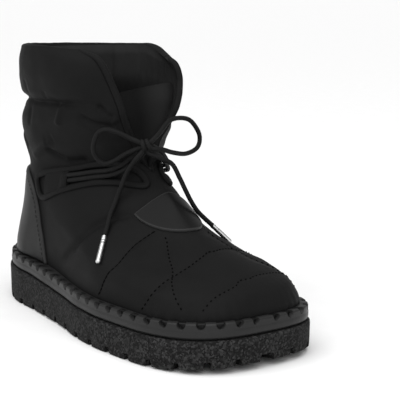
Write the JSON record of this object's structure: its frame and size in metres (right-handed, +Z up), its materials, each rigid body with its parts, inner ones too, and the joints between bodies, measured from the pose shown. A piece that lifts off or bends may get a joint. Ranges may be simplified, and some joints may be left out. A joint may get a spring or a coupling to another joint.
{
  "type": "winter ankle boot",
  "caption": "Right winter ankle boot with a padded fabric upper, leather heel counter, pocketed welt, lugged crumb-rubber sole and a cord lace tied in a bow.",
  "frame": {"origin": "middle of the sole's box, on the floor the boot stands on", "axes": "+X towards the toe, +Y towards the inner (medial) side, +Z up"},
  "size_m": [0.268, 0.1155, 0.1823],
  "materials": {
    "crumb_rubber": "matt speckled crumb rubber",
    "moulded_welt": "satin moulded rubber",
    "foot_bed": "matt felt",
    "padded_nylon": "matt quilted nylon",
    "smooth_leather": "smooth, soft sheen",
    "webbing": "matt woven tape",
    "lace_cord": "matt braided cord",
    "aglet_metal": "bright satin"
  },
  "bodies": {
    "root": {"outsole": "crumb_rubber", "welt": "moulded_welt", "insole": "foot_bed", "upper": "padded_nylon", "tongue": "padded_nylon", "heel_counter": "smooth_leather", "back_strip": "webbing", "throat_patch": "smooth_leather", "ankle_band_lateral": "padded_nylon", "ankle_band_medial": "padded_nylon", "lace_tab_lateral": "webbing", "lace_tab_medial": "webbing", "flap_binding_lateral": "webbing", "flap_binding_medial": "webbing", "lace_bar_lateral": "lace_cord", "lace_bar_medial": "lace_cord", "lace_knot": "lace_cord", "lace_loop_lateral": "lace_cord", "lace_loop_medial": "lace_cord", "lace_end_lateral": "lace_cord", "lace_end_medial": "lace_cord", "aglet_lateral": "aglet_metal", "aglet_medial": "aglet_metal"}
  },
  "joints": []
}
